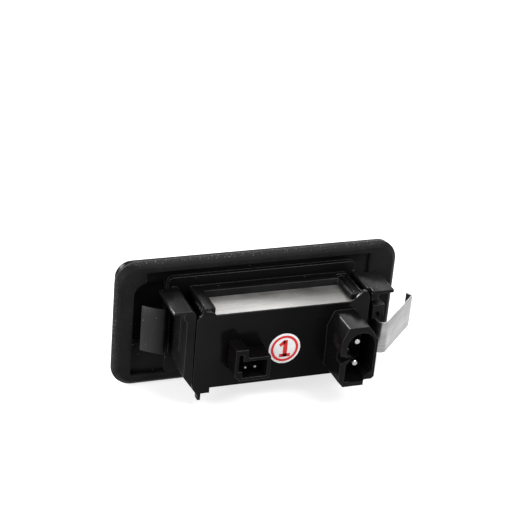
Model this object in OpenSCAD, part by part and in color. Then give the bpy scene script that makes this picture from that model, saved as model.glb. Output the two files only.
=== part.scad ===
// Number plate lamp with light emitting diodes, seen from behind as it leaves its box.
// X runs along the lamp, Z is up, and Y points to the lens. The origin is on the plane
// where the rubber seal meets the car's panel, at the middle of the lower long edge.

/* [Flange] */
// Radius of the seal's four corners
flange_corner_r = 7.6; // [6.6:0.2:9]
// Radius of the flange's four corners on the lens side
bezel_corner_r = 5.6; // [4:0.2:6.4]
// How far the lens side of the flange is set in from the seal's edge
bezel_inset = 0.8; // [0.6:0.1:1.4]
// Thickness of the flange
flange_t = 4.5; // [4:0.1:6]
// Rounding of the flange's front edge
bezel_edge_r = 1.4; // [0.5:0.1:2]

/* [Rubber seal] */
// Thickness of the seal behind the flange
seal_skin = 1.6; // [1:0.1:2.4]
// Thickness of the lip round the flange's edge
seal_lip = 1.4; // [0.8:0.1:2]
// How far the lip wraps forward from the seat
seal_wrap = 2.6; // [2.5:0.1:4]
// Width of the slope round the seal's outer back edge
seal_slope = 1.8; // [0.6:0.1:2.2]
// Width of the seal's border below its opening
seal_border = 4.2; // [3:0.1:4.4]
// Width of the seal's border above its opening
seal_top = 3.5; // [2.8:0.1:4.4]
// Width of the seal's border at the two ends
seal_end = 10.4; // [9:0.1:12]
// How far the opening reaches out behind the tongue
bay_reach = 4.1; // [2:0.1:4.5]
// How far the wider part of the opening stops below its top
bay_drop = 3.6; // [0.5:0.1:8]
// Radius of the wider part's upper corner
bay_r = 4.6; // [2:0.1:6]

/* [Pan behind the lens] */
// Gap between the left end of the pan and the seal's opening
pan_left = 7.4; // [6.8:0.1:8]
// Gap between the right end of the pan and the seal's opening
pan_right = 5.4; // [4.4:0.1:6]
// Gap between the top of the pan and the seal's opening
pan_clear = 2.5; // [0.5:0.1:3.2]
// Wall round the pan
pan_wall = 1.3; // [1:0.1:1.8]
// Thickness of the pan's floor
pan_floor = 1.2; // [0.8:0.1:1.6]

/* [Body box] */
// Width of the box, which sets the length of the flange
body_w = 55.9; // [48:0.1:68]
// Height of the box, which sets the height of the flange
body_h = 28.4; // [25:0.1:34]
// Room for the tongue and its clip between the box and the left end of the seal's opening
body_left = 14.8; // [14.2:0.1:17]
// Room for the spring's clip between the box and the right end of the seal's opening
body_right = 8.7; // [8:0.1:12]
// Gap between the underside of the box and the seal's opening
body_rise = 3.4; // [1:0.1:4.5]
// Gap between the top of the box and the seal's opening
body_clear = 6.1; // [4:0.1:7.5]
// Depth from the seat to the back of the cover
body_depth = 17.5; // [15:0.5:22]
// Thickness of the end walls and the floor
body_wall = 1.4; // [1:0.1:1.8]
// Thickness of the top wall, which is the depth of the window
top_wall = 2; // [1.2:0.1:2.6]
// Rounding of the box's upper back edge
back_round = 1.8; // [1:0.1:3]
// Depth at which the window in the top wall begins
window_front = 4.3; // [2:0.1:5.2]
// How far the window's far side slopes back
window_slope = 1; // [0.5:0.1:2.6]
// Width of the top wall left of the window
window_left = 3.6; // [1.8:0.1:4]
// Width of the top wall right of the window
window_right = 5; // [4:0.1:6]
// Depth of the channel in the top wall right of the window
channel_d = 0.9; // [0.3:0.1:1.1]

/* [Rear cover] */
// Thickness of the cover's plate
cover_t = 1.6; // [1.2:0.1:2.4]
// How far the cover reaches past the left end wall
cover_left = 3; // [2.5:0.1:4]
// How far the cover reaches past the right end wall
cover_right = 1.4; // [0.6:0.1:1.8]
// How far the cover hangs below the box
cover_hang = 0.5; // [0:0.1:1]
// Width of the foot at the cover's lower left corner
foot_w = 4.6; // [3:0.1:6]
// Height of the foot
foot_h = 1.9; // [1:0.1:3]
// Height of the prong below the foot
prong_h = 2.4; // [1:0.1:3]
// Width of the prong
prong_w = 1.1; // [0.8:0.1:2]
// Depth of the prong
prong_t = 2.6; // [1.7:0.1:4]
// Height of the ear at the upper right corner above the box
ear_h = 1.4; // [0.6:0.1:2]
// Thickness of the cover's lip behind the heat sink
cover_lip = 0.5; // [0.3:0.1:0.8]
// Width of a snap tab below the box
snap_w = 5.6; // [4:0.1:8]

/* [Main plug] */
// Distance of the pins from the right end wall
plug_inset = 5.9; // [5:0.1:7]
// Height of the upper pin above the middle of the box
plug_rise = 2.2; // [1.5:0.1:3]
// Distance between the two pins
plug_pitch = 8.2; // [7.6:0.1:8.8]
// Radius of a main pin
plug_pin_r = 1.1; // [0.8:0.05:1.3]
// Radius of the collar that holds a main pin in the cover
plug_collar_r = 1.4; // [1.35:0.05:1.7]
// Reach of the socket behind the cover
plug_reach = 12.5; // [9:0.5:16]
// Depth of the socket's cavity
plug_cavity = 11; // [7:0.5:12]
// How far the pins end inside the socket's rim
plug_recess = 3.2; // [2:0.1:5]
// Radius of the socket's arched cavity
plug_arch_r = 4.9; // [4.6:0.1:5.2]
// Depth of the key slot in the socket's rim
key_slot = 3; // [1:0.1:8]

/* [Link header] */
// Distance of the header's middle from the left end wall
link_inset = 14.5; // [13:0.1:16]
// Height of the header's middle below the middle of the box
link_drop = 4.7; // [4:0.1:5.4]
// Reach of the header behind the cover
link_reach = 7.5; // [5:0.5:10]
// Wall of the header
link_wall = 1.1; // [0.8:0.1:1.4]
// Distance between its two pins
link_pitch = 3.4; // [2.5:0.1:4]
// Radius of a link pin
link_pin_r = 0.5; // [0.3:0.05:0.6]

/* [Clips] */
// Thickness of the left clip's leg
leg_t = 2.9; // [2:0.1:3.5]
// Reach of the left clip's top plate past the leg
left_plate_reach = 4.8; // [3:0.1:6]
// Thickness of the left clip's top plate
left_plate_t = 0.9; // [0.7:0.1:1.5]
// Thickness of the right clip's top plate
plate_t = 1.2; // [1:0.1:1.8]
// Height of the tongue
tongue_h = 16.6; // [12:0.1:18]
// Radius of the tongue's outer face
tongue_r = 21.6; // [18:0.1:26]
// Thickness of the tongue
tongue_t = 1; // [0.8:0.1:1.2]
// Depth of the pocket in the flange behind the tongue
pocket_d = 1.6; // [1:0.1:3]
// Radius of the tongue's inner bend, where it turns back to the flange
tongue_bend_r = 1.3; // [1.3:0.1:2]
// Reach of the right clip's top plate past the box
right_plate_reach = 9.8; // [8.4:0.1:11]

/* [Retaining spring] */
// Width of the steel leaf
spring_w = 11.5; // [7:0.1:12]
// Thickness of the leaf
spring_t = 0.5; // [0.3:0.05:0.7]
// Radius of the leaf's bend, at the middle of the sheet
spring_bend_r = 2.2; // [1.8:0.1:3]
// Angle between the free arm and the length of the lamp
spring_angle = 44; // [38:1:50]
// Length of the free arm
spring_arm = 21.8; // [18:0.1:24]
// Length of the flap at the arm's tip
spring_flap = 2; // [1:0.1:5]
// Angle that the flap is turned back from the arm
spring_turn = 72; // [40:1:80]

/* [Electronics] */
// Thickness of both boards
board_t = 1; // [0.8:0.1:1.2]
// Room between the driver board and the cover
driver_room = 3.9; // [3.4:0.1:5]
// Columns of light emitting diodes
led_columns = 6; // [4:1:6]
// Rows of light emitting diodes
led_rows = 3; // [2:1:3]
// Size of one diode along the lamp
led_len = 3.5; // [2.8:0.1:5]
// Size of one diode across the lamp
led_wid = 2.8; // [2:0.1:5]
// Height of one diode
led_t = 1; // [0.6:0.1:1.1]
// Thickness of the heat sink's sheet
sink_t = 1; // [0.6:0.1:1.2]
// Thickness of the clear lens
lens_t = 2; // [1.4:0.1:2.6]

/* [Sticker] */
// Diameter of the round sticker
sticker_d = 11.1; // [8:0.1:13]
// Thickness of the sticker
sticker_t = 0.15; // [0.1:0.05:0.3]

/* [Hidden] */
$fn = 48;
// Clearance between parts that are fitted by hand
fit = 0.1;
// Clearance of a moulded part beside another
gap = 0.4;
// Overshoot of a cutter past the face that it opens
over = 1;
// Clearance of a pin's collar in its bore
bore_fit = 0.02;
// Depth by which joined solids run into each other
sink = 0.2;
// Steps of a bent sheet's arcs
arc_steps = 20;
// The flange with its seal is as large as the box, the clips and the borders need
flange_len = body_w + body_left + body_right + 2 * seal_end;
body_low = seal_border + body_rise;
body_top = body_low + body_h;
body_mid = body_low + body_h / 2;
opening_top = body_top + body_clear;
flange_h = opening_top + seal_top;
opening_x0 = -flange_len / 2 + seal_end;
opening_x1 = flange_len / 2 - seal_end;
bay_x0 = opening_x0 - bay_reach;
bay_top = opening_top - bay_drop;
body_x0 = opening_x0 + body_left;
body_x1 = opening_x1 - body_right;
pan_x0 = opening_x0 + pan_left;
pan_x1 = opening_x1 - pan_right;
pan_z0 = seal_border + fit;
pan_z1 = opening_top - pan_clear;
pan_r = 1.6;
opening_r = 1;
// Width of the seal's swept rim, which stops short of the corners' centres
rim_band = max(seal_lip, seal_slope) + 0.4;
cover_front = body_depth - cover_t;
cover_x0 = body_x0 - cover_left;
cover_x1 = body_x1 + cover_right;
cover_low = body_low - cover_hang;
// The lower left corner is cut along one slope, on the leg and on the cover
corner_slope = 1.44;
corner_x = cover_x0 + 0.05;
corner_reach = 12;
prong_inset = 0.5;
ear_corner = 1.1;
ear_notch = 1.2;
shoulder_drop = 3.2;
// Window in the top wall, and the inside of the box
window_x0 = body_x0 + window_left;
window_x1 = body_x1 - window_right;
in_x0 = body_x0 + body_wall;
in_x1 = body_x1 - body_wall;
in_low = body_low + body_wall;
in_top = body_top - top_wall;
// Ridges on both sides of the channel in the top wall, and a low rib in it
ridge_w = 0.8;
channel_front = 1.5;
channel_back = body_depth - 2.6;
channel_rib = [0.4, 0.35];
// Bevel along the sharp upper edges that face left
bevel = 0.4;
// Heat sink: a folded sheet that lies under the window
sink_x0 = window_x0 - 0.7;
sink_x1 = window_x1 + 0.7;
sink_bend = 1.4;
sink_low = in_low + 0.8;
board_back = pan_floor;
// Depths are measured backwards from the seat, so the lens side is negative
bezel_front = -(seal_skin + flange_t);
pocket_back = -(seal_skin + pocket_d);
pocket_low = 6.2;
lens_rim = 1.4;
rebate = 0.6;
lens_seat = bezel_front + lens_rim;
lens_crown = lens_t - lens_rim;
// Width of the swept edge of the flange, which stops short of the corners' centres
bezel_band = bezel_corner_r - 0.5;
board_edge = 0.2;
board_margin = 0.5;
board_x0 = pan_x0 + pan_wall + board_edge;
board_x1 = pan_x1 - pan_wall - board_edge;
board_z0 = pan_z0 + pan_wall + board_edge;
board_z1 = pan_z1 - pan_wall - board_edge;
stake_in = 2.3;
stake_r = 0.9;
stake_head_r = 1.5;
stake_head_t = 0.6;
led_margin_x = 8.3;
led_margin_z = 8;
// Left clip and tongue
leg_x1 = cover_x0 - gap;
leg_x0 = leg_x1 - leg_t;
left_plate_top = body_top + 0.3;
left_plate_front = 0.8;
leg_round = 2;
tongue_mid = (seal_border + opening_top) / 2 + 0.05;
// The tongue's long arc, as seen from above: its middle and where it begins and ends
tongue_mid_x = leg_x0 + 4.6;
tongue_mid_depth = -13.7;
tongue_tip_angle = 225.75;
tongue_bend_angle = 245;
// Lean of the tongue's inner leg
tongue_lean = 18;
// Upright rib on the outer face of the leg
leg_rib = [0.5, 1.4];
leg_rib_depth = 11;
leg_rib_drop = 4.4;
// Right clip
right_wall_x0 = cover_x1 + 0.8;
right_wall_x1 = right_wall_x0 + 1.5;
right_wall_depth = body_depth - 3;
right_plate_top = body_top + 1.2;
right_plate_front = 4;
right_plate_x0 = body_x1 + 1.2;
right_plate_x1 = body_x1 + right_plate_reach;
right_plate_back = body_depth + 0.3;
stub_front = right_plate_front + 2;
stub_h = 2.4;
slot_h = 2.6;
ledge_t = 1.5;
ledge_reach = 1;
// Spring holder: a block with a slot that the leaf's root stands in
slot_w = 1.5;
holder_x0 = right_wall_x1 - 0.7;
holder_x1 = holder_x0 + 4.2;
stub_x0 = holder_x0 - 0.9;
stub_x1 = holder_x0 + 1.6;
spring_top = body_mid + 4.2;
spring_low = spring_top - spring_w;
holder_low = spring_top + 0.5;
holder_top = holder_low + 5.2;
spring_x = right_wall_x1 + 1.1;
spring_root = 5;
spring_tip_r = 0.8;
// Main plug: both pins stand on one line
plug_x = body_x1 - plug_inset;
plug_z = body_mid + plug_rise;
plug_back = body_depth + plug_reach;
plug_tip = plug_back - plug_recess;
plug_floor = plug_back - plug_cavity;
plug_half = 7.1;
plug_boss = 2.4;
tip_bevel = 0.3;
// Link header
link_x = body_x0 + link_inset;
link_z = body_mid - link_drop;
link_back = body_depth + link_reach;
link_half = 6.1;
link_half_h = 4.15;
link_key_w = 4.2;
link_key_h = 3.1;
link_corner = 1.9;
link_cavity = 7;
link_clear = 0.2;
link_tip = link_back - 2.3;
sticker_share = 0.18;
link_pin_z = link_z - 0.7;
driver_back = cover_front - driver_room;
driver_depth = driver_back - board_t;
tail_r = 0.8;
tail_end = driver_depth - 1.2;
// Round sticker between the two connectors, nearer to the link header
sticker_room = plug_x - plug_half - link_x - link_half - sticker_d;
sticker_x = link_x + link_half + sticker_share * sticker_room + sticker_d / 2;
sticker_z = body_mid - 2.8;
// Posts that carry the current from the driver board to the light board
post_r = 0.4;
post_x = in_x1 - 1.5;
post_z = [in_low + 3.8, in_low + 7.8];
// Parts on the driver board
resistor_size = [6.4, 3.2, 0.6];
resistor_pitch = 5.2;
resistor_gap = 1;
resistor_margin = 0.8;
diode_size = [4.6, 2.6, 2.1];
diode_x = 2.5;
led_count = led_columns * led_rows;
snap_inset = [9, 14];
snap_x = [body_x0 + snap_inset[0], body_x1 - snap_inset[1]];
snap_t = 1;
snap_len = 4.6;
snap_barb = 1;
snap_bar = 1.8;
press_post_r = 1.2;
press_post_x = [in_x0 + 3, sticker_x];
press_post_z = in_low + 3.5;
// Step on the outer face of the box's left wall, and a rib on its right wall
side_step = 0.9;
side_step_front = 8;
side_step_drop = 1.2;
side_rib_h = 1.4;
side_rib_drop = 6;
// Ledges inside the box that the driver board stops against
board_ledge = [1, 2, 8];
// Webs between the leg and the box
web_t = 1.2;
web_z = [body_mid - 6, body_mid + 7];
web_back = cover_front - 2;
black = [0.1, 0.1, 0.1];

// Extrudes an outline drawn in X and Z backwards, between two depths behind the seat
module behind(from, to) {
    translate([0, -from, 0])
        rotate([90, 0, 0])
            linear_extrude(to - from)
                children();
}

// Extrudes a side view, drawn as depth and height, along X
module along(x0, x1) {
    translate([x1, 0, 0])
        rotate([90, 0, -90])
            linear_extrude(x1 - x0)
                children();
}

// Rectangle with round corners in X and Z
module rounded(x0, x1, z0, z1, r) {
    translate([x0 + r, z0])
        square([x1 - x0 - 2 * r, z1 - z0]);
    translate([x0, z0 + r])
        square([x1 - x0, z1 - z0 - 2 * r]);
    for (x = [x0 + r, x1 - r], z = [z0 + r, z1 - r])
        translate([x, z])
            circle(r);
}

// Box between two corners given as X, depth and Z
module slab(x0, x1, d0, d1, z0, z1) {
    translate([x0, -d1, z0])
        cube([x1 - x0, d1 - d0, z1 - z0]);
}

// Round bar along the depth
module bar(x, z, r, d0, d1) {
    translate([x, -d0, z])
        rotate([90, 0, 0])
            cylinder(r = r, h = d1 - d0);
}

// Points of an arc seen from above
function arc(centre, r, from, to) = [
    for (i = [0 : arc_steps])
        centre + r * [cos(from + (to - from) * i / arc_steps), sin(from + (to - from) * i / arc_steps)]];

// The same points in the opposite order
function reversed(list) = [for (i = [len(list) - 1 : -1 : 0]) list[i]];

// Sweeps a section, drawn as inward distance and depth, round a rounded rectangle
module swept_rim(x0, x1, z0, z1, r, from) {
    width = x1 - x0 - 2 * r;
    height = z1 - z0 - 2 * r;
    corners = [
        [x1 - r, z1 - r, 0, height], [x0 + r, z1 - r, 90, width],
        [x0 + r, z0 + r, 180, height], [x1 - r, z0 + r, 270, width]];
    translate([0, -from, 0])
        rotate([90, 0, 0])
            for (corner = corners)
                translate([corner[0], corner[1], 0])
                    rotate([0, 0, corner[2]]) {
                        rotate_extrude(angle = 90)
                            translate([r, 0])
                                mirror([1, 0])
                                    children();
                        rotate([90, 0, 0])
                            linear_extrude(corner[3])
                                translate([r, 0])
                                    mirror([1, 0])
                                        children();
                    }
}

// Section of the seal: a skin behind the flange and a lip round its edge, sloped at the back
module seal_section() {
    polygon([
        [0, 0], [seal_lip, 0], [seal_lip, seal_wrap - seal_skin], [rim_band, seal_wrap - seal_skin],
        [rim_band, seal_wrap], [seal_slope, seal_wrap], [0, seal_wrap - seal_slope]]);
}

// Opening of the seal, with the bay that leaves room behind the tongue
module seal_opening() {
    rounded(opening_x0, opening_x1, seal_border, opening_top, opening_r);
    rounded(bay_x0, 0, body_low, bay_top, bay_r);
    rounded(bay_x0, 0, seal_border, body_mid, opening_r);
}

module rubber_seal() {
    half = flange_len / 2;
    inset = rim_band - sink;
    color([0.16, 0.16, 0.16]) {
        swept_rim(-half, half, 0, flange_h, flange_corner_r, -seal_wrap)
            seal_section();
        behind(-seal_skin, 0)
            difference() {
                rounded(-half + inset, half - inset, inset, flange_h - inset, flange_corner_r - inset);
                seal_opening();
            }
    }
}

// Section of the flange's edge on the lens side, round at the front
module bezel_section() {
    difference() {
        square([bezel_band, seal_skin + flange_t - seal_wrap]);
        difference() {
            translate([-over, -over])
                square([over + bezel_edge_r, over + bezel_edge_r]);
            translate([bezel_edge_r, bezel_edge_r])
                circle(bezel_edge_r);
        }
    }
}

module flange_plate() {
    half = flange_len / 2;
    edge = bezel_inset;
    inset = bezel_inset + bezel_band - sink;
    swept_rim(-half + edge, half - edge, edge, flange_h - edge, bezel_corner_r, bezel_front)
        bezel_section();
    behind(bezel_front, -seal_wrap)
        rounded(-half + inset, half - inset, inset, flange_h - inset, sink);
    // The part that the seal's lip wraps
    behind(-seal_wrap - sink, -seal_skin)
        rounded(-half + seal_lip, half - seal_lip, seal_lip, flange_h - seal_lip,
            flange_corner_r - seal_lip);
}

// Everything cut out of the pan, from the lens down to the heat sink
module pan_cuts() {
    inner_r = pan_r - pan_wall / 2;
    behind(bezel_front - over, -pan_floor)
        rounded(pan_x0 + pan_wall, pan_x1 - pan_wall, pan_z0 + pan_wall, pan_z1 - pan_wall, inner_r);
    behind(bezel_front - over, lens_seat)
        rounded(pan_x0 - rebate, pan_x1 + rebate, pan_z0 - rebate, pan_z1 + rebate, 3);
    slab(sink_x0 - fit, sink_x1 + fit, -pan_floor - over, over, sink_low - fit, in_top);
    for (z = post_z)
        bar(post_x, z, post_r + 0.2, -pan_floor - over, over);
}

// Rounds the upper back edge of the box between two places along X
module back_edge_cut(x0, x1) {
    along(x0, x1)
        difference() {
            translate([body_depth - back_round, body_top - back_round])
                square([back_round + over, back_round + over]);
            translate([body_depth - back_round, body_top - back_round])
                circle(back_round);
        }
}

module body_box() {
    difference() {
        union() {
            slab(body_x0, body_x1, -pan_floor / 2, cover_front, body_low, body_top);
            slab(body_x0 - side_step, body_x0 + sink, side_step_front, cover_front,
                body_low, body_top - side_step_drop);
            slab(body_x1 - sink, body_x1 + right_wall_x0 - cover_x1, 0, side_step_front,
                body_mid - side_rib_drop, body_mid - side_rib_drop + side_rib_h);
        }
        slab(in_x0, in_x1, -seal_skin - over, body_depth, in_low, in_top);
        slab(window_x0, window_x1, window_front, body_depth, in_top - over, body_top + over);
        top_channel();
        back_edge_cut(body_x0 - over, body_x1 + over);
        for (x = [body_x0, body_x1])
            depth_bevel(x, body_top, -over);
        depth_bevel(window_x1, body_top, window_front);
        for (x = snap_x)
            slab(x - fit, x + snap_w + fit, cover_front - snap_len - fit, cover_front - snap_bar,
                body_low - over, in_low + over);
    }
    // Sloped far side of the window
    along(window_x0 - sink, window_x1 + sink)
        polygon([
            [window_front - sink, in_top], [window_front + window_slope, in_top],
            [window_front, body_top - sink], [window_front - sink, body_top - sink]]);
    for (x = [in_x0 - sink, in_x1 - board_ledge[0]])
        slab(x, x + board_ledge[0] + sink, driver_depth - board_ledge[1], driver_depth,
            body_mid - 1, body_mid - 1 + board_ledge[2]);
}

// Channel in the top wall right of the window, with a low rib along its middle
module top_channel() {
    x0 = window_x1 + ridge_w;
    x1 = body_x1 - ridge_w;
    difference() {
        slab(x0, x1, channel_front, channel_back, body_top - channel_d, body_top + over);
        slab((x0 + x1 - channel_rib[0]) / 2, (x0 + x1 + channel_rib[0]) / 2, 0, body_depth,
            body_top - channel_d - over, body_top - channel_d + channel_rib[1]);
    }
}

// Cutter that bevels an upper edge that runs along the depth
module depth_bevel(x, z, from) {
    behind(from, body_depth + over)
        translate([x, z])
            rotate(45)
                square(bevel * sqrt(2), center = true);
}

// Upside-down L with a round shoulder, cut off along the corner's slope
module left_clip_outline() {
    plate_low = left_plate_top - left_plate_t;
    shoulder_z = left_plate_top - leg_round;
    difference() {
        union() {
            translate([leg_x0 - left_plate_reach, plate_low])
                square([left_plate_reach + leg_t - leg_round, left_plate_t]);
            translate([leg_x0, cover_low])
                square([leg_t, shoulder_z - cover_low]);
            translate([leg_x0, shoulder_z - sink])
                square([leg_t - leg_round, leg_round]);
            translate([leg_x1 - leg_round, shoulder_z])
                circle(leg_round);
        }
        corner_cut();
        translate([leg_x0 - left_plate_reach, left_plate_top])
            rotate(45)
                square(bevel * sqrt(2), center = true);
    }
}

// Area below the slope at the lower left corner
module corner_cut() {
    rise = corner_slope * corner_reach;
    polygon([
        [corner_x - corner_reach, cover_low + rise], [corner_x + corner_reach, cover_low - rise],
        [corner_x - corner_reach, cover_low - rise]]);
}

// One side of the tongue, seen from above: its long arc, a tight bend and the lean leg
function tongue_side(inset) =
    let (
        middle = [tongue_mid_x, -tongue_mid_depth],
        reach = tongue_r - tongue_bend_r,
        bend = middle + reach * [cos(tongue_bend_angle), sin(tongue_bend_angle)],
        leg = (tongue_t - pocket_back - bend[1]) / cos(tongue_lean))
    concat(
        arc(middle, tongue_r - inset, tongue_tip_angle, tongue_bend_angle - 1),
        arc(bend, tongue_bend_r - inset, tongue_bend_angle, 360 - tongue_lean),
        [bend + (tongue_bend_r - inset) * [cos(tongue_lean), -sin(tongue_lean)]
            + leg * [sin(tongue_lean), cos(tongue_lean)]]);

// Curved tongue that hooks behind the edge of the panel
module tongue() {
    translate([0, 0, tongue_mid - tongue_h / 2])
        linear_extrude(tongue_h)
            polygon(concat(tongue_side(0), reversed(tongue_side(tongue_t))));
}

// Pocket in the flange that gives the tongue room to flex
module tongue_pocket() {
    slab(bay_x0, pan_x0 - gap, pocket_back, over, tongue_mid - pocket_low, bay_top - gap);
}

module left_clip() {
    behind(left_plate_front, body_depth)
        left_clip_outline();
    slab(leg_x0 - leg_rib[0], leg_x0 + sink, leg_rib_depth, leg_rib_depth + leg_rib[1],
        tongue_mid - leg_rib_drop, left_plate_top - left_plate_t + sink);
    // The leg goes on into the flange
    behind(-seal_skin, left_plate_front + sink)
        intersection() {
            left_clip_outline();
            translate([leg_x0, 0])
                square([leg_t, left_plate_top]);
        }
    tongue();
    // Two webs tie the leg to the end wall of the box
    for (z = web_z)
        slab(leg_x1 - sink, body_x0 + sink, 0, web_back, z, z + web_t);
}

module right_clip() {
    // Upright wall that carries the plate and the spring holder
    slab(right_wall_x0, right_wall_x1, -seal_skin, right_wall_depth,
        body_low, right_plate_top - plate_t + sink);
    // Top plate, set back at its inner corner
    slab(right_wall_x0, right_plate_x1, right_plate_front, right_plate_back,
        right_plate_top - plate_t, right_plate_top);
    slab(right_plate_x0, right_wall_x0 + sink, right_plate_front, body_depth - 2.5,
        right_plate_top - plate_t, right_plate_top);
    // Stub under the plate
    slab(stub_x0, stub_x1, stub_front, body_depth,
        right_plate_top - plate_t - stub_h, right_plate_top - plate_t + sink);
    slab(right_wall_x0, stub_x1, stub_front, right_wall_depth,
        right_plate_top - plate_t - stub_h, right_plate_top - plate_t + sink);
    // Spring holder with its slot
    difference() {
        slab(holder_x0, holder_x1, stub_front, body_depth, holder_low, holder_top);
        slab(spring_x - slot_w / 2, spring_x + slot_w / 2, stub_front - over, body_depth + over,
            holder_low - over, holder_low + slot_h);
    }
    // Ledge below the leaf, and the foot that both stand on
    slab(right_wall_x1 - sink, spring_x + ledge_reach, 0, right_wall_depth - ledge_reach,
        spring_low - ledge_t, spring_low - fit);
    slab(right_wall_x1 - sink, spring_x + ledge_reach, -seal_skin, ledge_reach,
        spring_low - ledge_t, spring_top + ledge_reach);
}

module stake(x, z) {
    bar(x, z, stake_r, -board_back - board_t - stake_head_t, 0);
    bar(x, z, stake_head_r, -board_back - board_t - stake_head_t, -board_back - board_t);
}

module housing() {
    color(black) {
        difference() {
            union() {
                difference() {
                    flange_plate();
                    tongue_pocket();
                }
                behind(-seal_skin - sink, 0)
                    rounded(pan_x0, pan_x1, pan_z0, pan_z1, pan_r);
                right_clip();
                left_clip();
            }
            pan_cuts();
            slab(in_x0, in_x1, -pan_floor + over, body_depth, in_low, in_top);
        }
        body_box();
        for (x = [board_x0 + stake_in, board_x1 - stake_in], z = [board_z0 + stake_in, board_z1 - stake_in])
            stake(x, z);
    }
}

// Back face of the cover, with the foot, the prong and the ear
module cover_outline() {
    foot_low = cover_low - foot_h;
    foot_x0 = corner_x + foot_h / corner_slope;
    prong_x = foot_x0 + prong_inset;
    difference() {
        polygon([
            [cover_x0, cover_low], [corner_x, cover_low],
            [foot_x0, foot_low], [prong_x, foot_low - prong_h],
            [prong_x + prong_w, foot_low - prong_h], [prong_x + prong_w, foot_low],
            [foot_x0 + foot_w, foot_low], [foot_x0 + foot_w, cover_low],
            [cover_x1, cover_low], [cover_x1, body_top - ear_notch],
            [cover_x1 - ear_corner, body_top + ear_h], [cover_x1 - 2 * ear_corner, body_top + ear_h],
            [window_x1 + 1, body_top - ear_notch], [window_x1, in_top],
            [window_x0, in_top], [window_x0 - 0.6, in_top + 0.7], [body_x0 + ear_corner, body_top],
            [body_x0 - ear_corner, body_top], [body_x0 - ear_corner, body_top - ear_notch],
            [cover_x0, body_top - shoulder_drop]]);
        corner_cut();
    }
}

// Outside of the main socket, from the upper pin's axis
module plug_outline() {
    low = -plug_pitch;
    translate([plug_x, plug_z])
        polygon([
            [-4.9 - bevel / 2, 7.2 - bevel], [-4.9 + bevel / 2, 7.2], [2.1, 7.2], [5.9, 2],
            [5.9, low - 3.8], [5, low - 4.6], [2.2, low - 4.6],
            [2.2, low - 6.7], [-5.1, low - 6.7], [-7, low - 4.5], [-6.9, 0.4 - plug_arch_r],
            [-plug_half, 1.6 - plug_arch_r], [-plug_half, 2.2]]);
}

// Inside of the main socket: an arch over the upper pin and a square lower half
module plug_cavity_outline() {
    low = -plug_pitch;
    r = plug_arch_r;
    translate([plug_x, plug_z]) {
        circle(r);
        polygon([
            [-r, 0], [r, 0], [r, low - 1.5], [3.9, low - 2.3], [2.3, low - 3.5], [2, low - 4.8],
            [-4.8, low - 4.8], [-4.8, 1.5 + low], [-3.3, 3.6 + low], [-3.3, 5.2 + low], [-r, 5.6 + low]]);
    }
}

// Slot in the socket's left wall, which keeps a wrong plug out
module plug_key_slot() {
    translate([plug_x, plug_z])
        polygon([[-9, -6.75], [-3.2, -4.3], [-3.2, -3.4], [-4.7, -3.8], [-9, -2.1]]);
}

// Outside of the link header, grown by a clearance where the cover lets it through
module link_outline(grow) {
    w = link_half + grow;
    h = link_half_h + grow;
    translate([link_x, link_z])
        polygon([
            [-w + link_corner, -h], [w, -h], [w, h], [-w + link_key_w + 2 * grow + 0.6, h],
            [-w + link_key_w + 2 * grow, h + 0.6], [-w + link_key_w + 2 * grow, h + link_key_h],
            [-w, h + link_key_h], [-w, -h + link_corner]]);
}

module snap_tab(x) {
    barb_back = cover_front - snap_bar - sink;
    slab(x, x + snap_w, cover_front - snap_len, cover_front + sink, in_low + fit, in_low + fit + snap_t);
    along(x + sink, x + snap_w - sink)
        polygon([
            [cover_front - snap_len, in_low + fit + sink], [barb_back, in_low + fit + sink],
            [barb_back, in_low - snap_barb], [barb_back - snap_barb, in_low - snap_barb]]);
}

module rear_cover() {
    foot_low = cover_low - foot_h;
    prong_x = corner_x + foot_h / corner_slope + prong_inset;
    color(black)
        difference() {
            union() {
                behind(cover_front, body_depth)
                    cover_outline();
                slab(prong_x, prong_x + prong_w, body_depth - prong_t, body_depth,
                    foot_low - prong_h, foot_low + sink);
                behind(body_depth - sink, plug_back)
                    plug_outline();
                behind(cover_front - plug_boss, cover_front + sink)
                    intersection() {
                        plug_outline();
                        translate([0, in_low + over])
                            square([in_x1 - fit, in_top - sink_t - in_low - 2 * over]);
                    }
                for (x = snap_x)
                    snap_tab(x);
                for (x = press_post_x)
                    bar(x, press_post_z, press_post_r, driver_back + fit, cover_front + sink);
            }
            back_edge_cut(cover_x0 - over, window_x0 + over);
            // Rabbet that takes the heat sink's end, behind a thin lip
            slab(sink_x0 - fit, sink_x1 + fit, cover_front - over, body_depth - cover_lip,
                in_top - sink_t - fit, in_top + over);
            behind(plug_floor, plug_back + over)
                plug_cavity_outline();
            behind(plug_back - key_slot, plug_back + over)
                plug_key_slot();
            for (z = [plug_z, plug_z - plug_pitch])
                bar(plug_x, z, plug_collar_r + bore_fit, cover_front - plug_boss - over, plug_floor + over);
            behind(cover_front - over, body_depth + over)
                link_outline(link_clear);
        }
}

module heat_sink_plate() {
    depth_back = body_depth - cover_lip - fit;
    corner = [-board_back + sink_bend, in_top - sink_bend];
    color([0.8, 0.8, 0.8])
        along(sink_x0, sink_x1) {
            translate([-board_back, sink_low])
                square([sink_t, corner[1] - sink_low]);
            translate([corner[0], in_top - sink_t])
                square([depth_back - corner[0], sink_t]);
            translate(corner)
                intersection() {
                    difference() {
                        circle(sink_bend);
                        circle(sink_bend - sink_t);
                    }
                    translate([-sink_bend - over, 0])
                        square([sink_bend + over, sink_bend + over]);
                }
        }
}

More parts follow.
